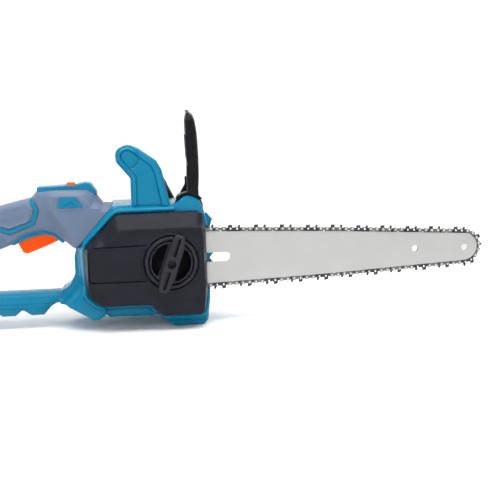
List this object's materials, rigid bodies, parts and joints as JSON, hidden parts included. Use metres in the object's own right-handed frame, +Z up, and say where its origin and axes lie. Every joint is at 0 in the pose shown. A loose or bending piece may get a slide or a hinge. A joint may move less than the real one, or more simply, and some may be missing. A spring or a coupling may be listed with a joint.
{
  "type": "battery chainsaw",
  "caption": "Cordless chainsaw with a side-mounted guide bar, top front handle, hand guard, closed rear handle, tool-less bar clamp and slide-on rear battery pack.",
  "frame": {"origin": "centre of the front foot's underside, on the plane of the floor and on the parting plane of the housing halves", "axes": "+X along the bar towards its nose, +Y to the user's left (the bar is on the right, at -Y), +Z up"},
  "size_m": [0.8099, 0.1667, 0.2655],
  "materials": {
    "teal_plastic": "satin moulded, fine texture",
    "grey_overmold": "soft-touch, matt",
    "black_plastic": "fine spark texture",
    "handle_black": "fine texture",
    "orange_plastic": "satin",
    "bar_steel": "satin, ground lengthways",
    "chain_steel": "blued and oiled",
    "steel": "turned",
    "aluminium": "die cast",
    "brass": "turned",
    "tank_plastic": "milky, translucent",
    "hose_rubber": "matt",
    "cell_wrap": "shrink wrap",
    "board": "solder mask"
  },
  "bodies": {
    "saw_body": {"housing_right": "teal_plastic", "housing_left": "teal_plastic", "front_foot": "teal_plastic", "grip_overmold_right": "grey_overmold", "grip_overmold_left": "grey_overmold", "handle_top_cap": "teal_plastic", "trigger_pin": "steel", "trigger_spring": "steel", "switch_module": "black_plastic", "front_handle_arm": "teal_plastic", "front_handle_tube": "handle_black", "guard_pin_right": "steel", "guard_pin_left": "steel", "brake_spring": "steel", "brake_band": "chain_steel", "guide_bar": "bar_steel", "nose_rivet": "steel", "saw_chain": "chain_steel", "chain_catcher": "aluminium", "bumper_spikes": "teal_plastic", "shaft_bearing_front": "steel", "shaft_bearing_rear": "steel", "gear_plate": "aluminium", "motor_stator": "chain_steel", "motor_windings": "brass", "motor_bearing_front": "steel", "motor_bearing_rear": "steel", "oil_tank": "tank_plastic", "oil_hose": "hose_rubber", "oil_filter": "brass", "oil_pump_body": "aluminium", "bar_stud": "steel", "controller_board": "board", "power_lead": "hose_rubber", "terminal_block": "black_plastic"},
    "trigger": {"trigger": "orange_plastic"},
    "lock_off": {"lock_off_button": "orange_plastic"},
    "hand_guard": {"hand_guard": "handle_black"},
    "side_cover": {"side_cover": "black_plastic"},
    "tension_dial": {"tension_dial": "black_plastic", "tension_cam": "steel"},
    "clamp_knob": {"clamp_knob": "black_plastic", "clamp_nut": "brass"},
    "drive_shaft": {"drive_shaft": "steel", "drive_sprocket": "chain_steel", "brake_drum": "chain_steel", "drive_gear": "steel", "pump_worm": "brass"},
    "motor_rotor": {"motor_rotor": "chain_steel", "motor_shaft": "steel", "motor_fan": "black_plastic"},
    "pump_plunger": {"oil_pump_plunger": "steel"},
    "nose_sprocket": {"nose_sprocket": "chain_steel"},
    "oil_cap": {"oil_cap": "black_plastic"},
    "battery_pack": {"battery_case": "black_plastic", "battery_face": "black_plastic", "battery_cell_block": "cell_wrap", "battery_terminals": "brass"},
    "battery_latch": {"battery_latch": "orange_plastic"}
  },
  "joints": [
    {"name": "trigger_pivot", "type": "hinge", "parent": "saw_body", "child": "trigger", "pos_m": [-0.163, 0, 0.129], "axis": [0, 1, 0], "range_deg": [0, 8], "stiffness_Nm_per_rad": 0.6, "springref_deg": -8.59},
    {"name": "lock_off_slide", "type": "slide", "parent": "saw_body", "child": "lock_off", "axis": [1, 0, 0], "range_m": [0, 0.005], "stiffness_N_per_m": 300, "springref_m": -0.003},
    {"name": "guard_pivot", "type": "hinge", "parent": "saw_body", "child": "hand_guard", "pos_m": [0.003, 0, 0.1475], "axis": [0, 1, 0], "range_deg": [0, 24]},
    {"name": "cover_lift_off", "type": "slide", "parent": "saw_body", "child": "side_cover", "axis": [0, -1, 0], "range_m": [0, 0.07]},
    {"name": "dial_turn", "type": "hinge", "parent": "side_cover", "child": "tension_dial", "pos_m": [-0.022, -0.057, 0.0845], "axis": [0, 1, 0], "range_deg": [0, 300]},
    {"name": "knob_turn", "type": "hinge", "parent": "side_cover", "child": "clamp_knob", "pos_m": [-0.022, -0.064, 0.0845], "axis": [0, 1, 0], "continuous": true},
    {"name": "shaft_spin", "type": "hinge", "parent": "saw_body", "child": "drive_shaft", "pos_m": [-0.08535, -0.03, 0.085], "axis": [0, 1, 0], "continuous": true},
    {"name": "rotor_spin", "type": "hinge", "parent": "saw_body", "child": "motor_rotor", "pos_m": [-0.06148, 0.016, 0.10887], "axis": [0, 1, 0], "continuous": true},
    {"name": "pump_spin", "type": "hinge", "parent": "saw_body", "child": "pump_plunger", "pos_m": [-0.09685, -0.0212, 0.07], "axis": [0, 0, 1], "continuous": true},
    {"name": "nose_spin", "type": "hinge", "parent": "saw_body", "child": "nose_sprocket", "pos_m": [0.362, -0.036, 0.085], "axis": [0, 1, 0], "continuous": true},
    {"name": "oil_cap_turn", "type": "hinge", "parent": "saw_body", "child": "oil_cap", "pos_m": [-0.011, 0.05, 0.046], "axis": [0, 1, 0], "range_deg": [-270, 0]},
    {"name": "battery_slide", "type": "slide", "parent": "saw_body", "child": "battery_pack", "axis": [0, 0, 1], "range_m": [0, 0.12]},
    {"name": "latch_press", "type": "slide", "parent": "battery_pack", "child": "battery_latch", "axis": [1, 0, 0], "range_m": [0, 0.003], "stiffness_N_per_m": 400, "springref_m": -0.003}
  ],
  "couplings": [
    {"joint": "rotor_spin", "follows": "shaft_spin", "ratio": -3.5},
    {"joint": "nose_spin", "follows": "shaft_spin", "ratio": 0.875},
    {"joint": "pump_spin", "follows": "shaft_spin", "ratio": 0.0625}
  ]
}
